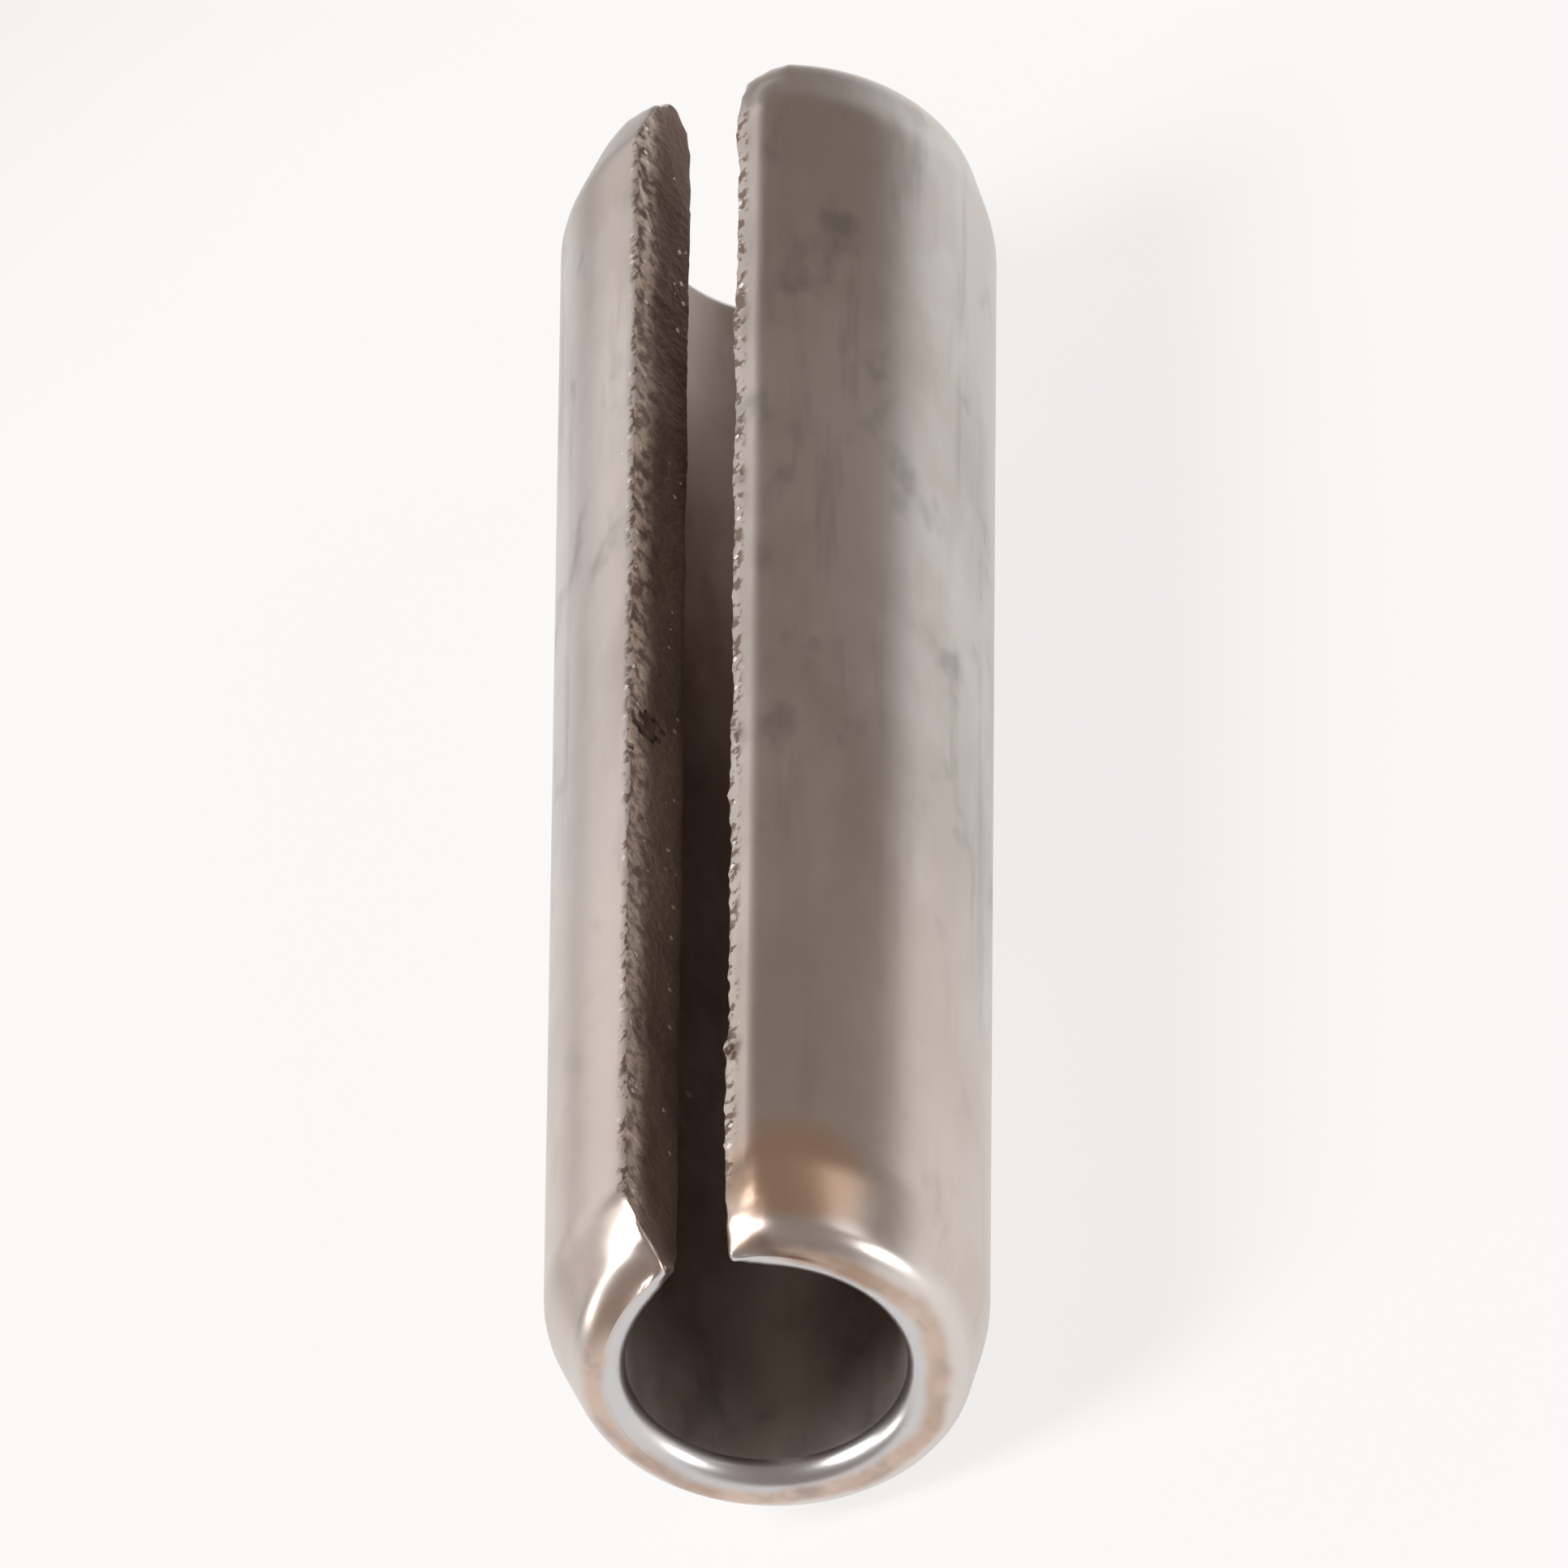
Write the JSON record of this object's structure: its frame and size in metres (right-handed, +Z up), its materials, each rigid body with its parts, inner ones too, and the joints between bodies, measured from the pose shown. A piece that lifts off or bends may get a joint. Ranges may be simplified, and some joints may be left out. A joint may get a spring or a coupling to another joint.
{
  "type": "spring pin",
  "caption": "Slotted spring pin: a steel strip rolled into an open tube with tapered, rounded ends, driven into a hole slightly smaller than itself to lock parts together.",
  "frame": {"origin": "on the pin's axis, half way along its length", "axes": "+Y along the pin's axis, +Z up and out through the middle of the slot, the lip with the rolled-over edge on the +X side"},
  "size_m": [0.0066, 0.0254, 0.0065],
  "materials": {
    "bare_spring_steel": "satin"
  },
  "bodies": {
    "root": {"spring_pin": "bare_spring_steel"}
  },
  "joints": []
}
